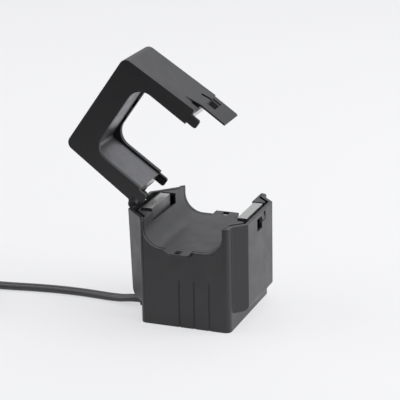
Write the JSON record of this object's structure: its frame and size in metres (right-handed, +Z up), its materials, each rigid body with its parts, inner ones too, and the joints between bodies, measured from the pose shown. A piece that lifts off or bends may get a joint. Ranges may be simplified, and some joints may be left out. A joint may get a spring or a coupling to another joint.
{
  "type": "split-core current transformer",
  "caption": "Black split-core current transformer, its hinged lid standing open over a saddle trough, with a flat twin lead.",
  "frame": {"origin": "on the ground below the middle of the cable window, in the middle of the depth", "axes": "+X towards the latch side, -Y towards the grooved front, +Z up; the cable runs along Y"},
  "size_m": [0.1731, 0.0949, 0.1073],
  "materials": {
    "housing_abs": "moulded, fine spark-eroded grain",
    "lid_abs": "moulded, fine spark-eroded grain",
    "cover_abs": "moulded, smooth",
    "core_steel": "coated, poles ground",
    "bobbin_nylon": "moulded",
    "enamelled_copper": "enamelled",
    "polyester_tape": "glossy film",
    "tinned_wire": "tinned",
    "board_laminate": "solder resist",
    "resistor_coat": "lacquered",
    "diode_epoxy": "moulded epoxy",
    "lead_pvc": "extruded, satin",
    "wire_pvc": "extruded",
    "relief_rubber": "moulded",
    "pin_steel": "drawn",
    "pad_foam": "closed-cell foam",
    "spring_steel": "rolled",
    "tie_nylon": "moulded"
  },
  "bodies": {
    "root": {"housing": "housing_abs", "trough_cover": "cover_abs", "lower_core": "core_steel", "bobbin_front": "bobbin_nylon", "bobbin_rear": "bobbin_nylon", "winding": "enamelled_copper", "winding_tape": "polyester_tape", "terminal_pins": "tinned_wire", "circuit_board": "board_laminate", "burden_resistor": "resistor_coat", "clamp_diode": "diode_epoxy", "start_wire": "enamelled_copper", "finish_wire": "enamelled_copper", "lead_inner": "lead_pvc", "lead_wires": "wire_pvc", "strain_relief": "relief_rubber", "hinge_pin": "pin_steel", "lead": "lead_pvc", "lead_coil": "lead_pvc", "coil_tie": "tie_nylon", "lead_tail": "lead_pvc", "lead_ends": "tinned_wire"},
    "lid": {"lid_shell": "lid_abs", "upper_core": "core_steel", "core_pad": "pad_foam", "core_spring": "spring_steel"}
  },
  "joints": [
    {"name": "lid_hinge", "type": "hinge", "parent": "root", "child": "lid", "pos_m": [-0.02892, 0, 0.04455], "axis": [0, -1, 0], "range_deg": [-54.5, 35.5]}
  ]
}
